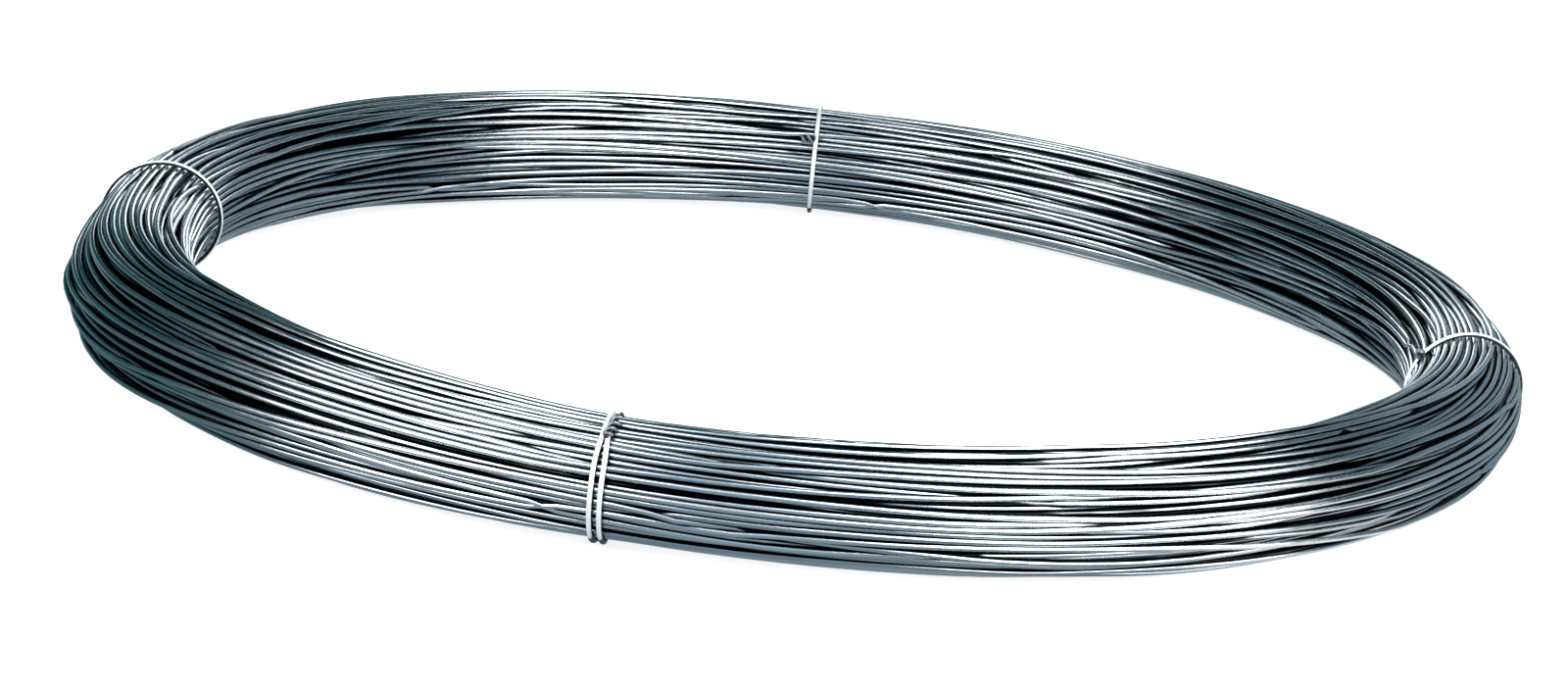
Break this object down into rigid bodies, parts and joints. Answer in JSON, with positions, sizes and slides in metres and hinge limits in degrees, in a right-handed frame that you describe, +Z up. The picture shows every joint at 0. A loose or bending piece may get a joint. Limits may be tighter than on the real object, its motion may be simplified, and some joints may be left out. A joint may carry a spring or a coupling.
{
  "type": "coil of galvanised fence wire",
  "caption": "Flat-lying round coil of galvanised steel fence wire, wound loose in a slim ring and held by wire ties with twisted ends.",
  "frame": {"origin": "on the coil's axis, at the level of the floor that the ties rest on", "axes": "+Z up along the coil's axis; -Y towards the viewer of the picture, where the double tie is"},
  "size_m": [0.6521, 0.6523, 0.0565],
  "materials": {
    "fence_wire": "bright galvanised, drawn lengthwise, with dark gaps between the turns",
    "tie_wire": "bright galvanised, softer and smoother than the fence wire"
  },
  "bodies": {
    "root": {"wire_coil": "fence_wire", "tie_front": "tie_wire", "tie_back": "tie_wire", "tie_left": "tie_wire", "tie_right": "tie_wire"}
  },
  "joints": []
}
